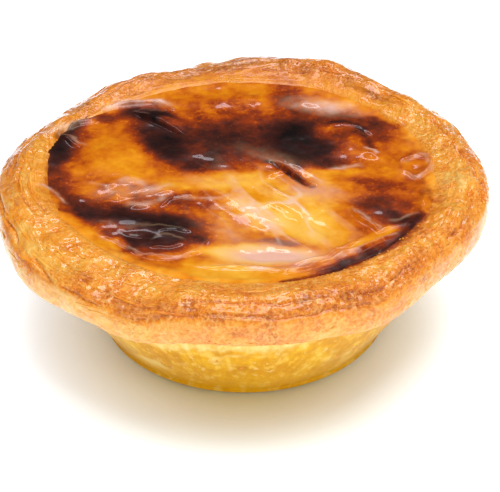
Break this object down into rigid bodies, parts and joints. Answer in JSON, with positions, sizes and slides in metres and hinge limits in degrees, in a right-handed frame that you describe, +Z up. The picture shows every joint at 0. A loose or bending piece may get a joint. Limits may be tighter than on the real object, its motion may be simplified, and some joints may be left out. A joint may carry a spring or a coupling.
{
  "type": "portuguese custard tart",
  "caption": "Round baked tart: a tapered puff-pastry cup with a wide flaky lip, filled with custard whose skin is caramelised in dark patches.",
  "frame": {"origin": "middle of the flat base, on the surface that the tart stands on", "axes": "+Z up through the middle of the tart, +X to the right and +Y to the far side as the tart is usually looked at"},
  "size_m": [0.0803, 0.0806, 0.0288],
  "materials": {
    "pastry": "golden baked puff pastry, semi-matte with buttery patches",
    "custard": "glossy set custard skin, gold to amber with near-black caramelised patches"
  },
  "bodies": {
    "root": {"pastry_shell": "pastry", "custard": "custard"}
  },
  "joints": []
}
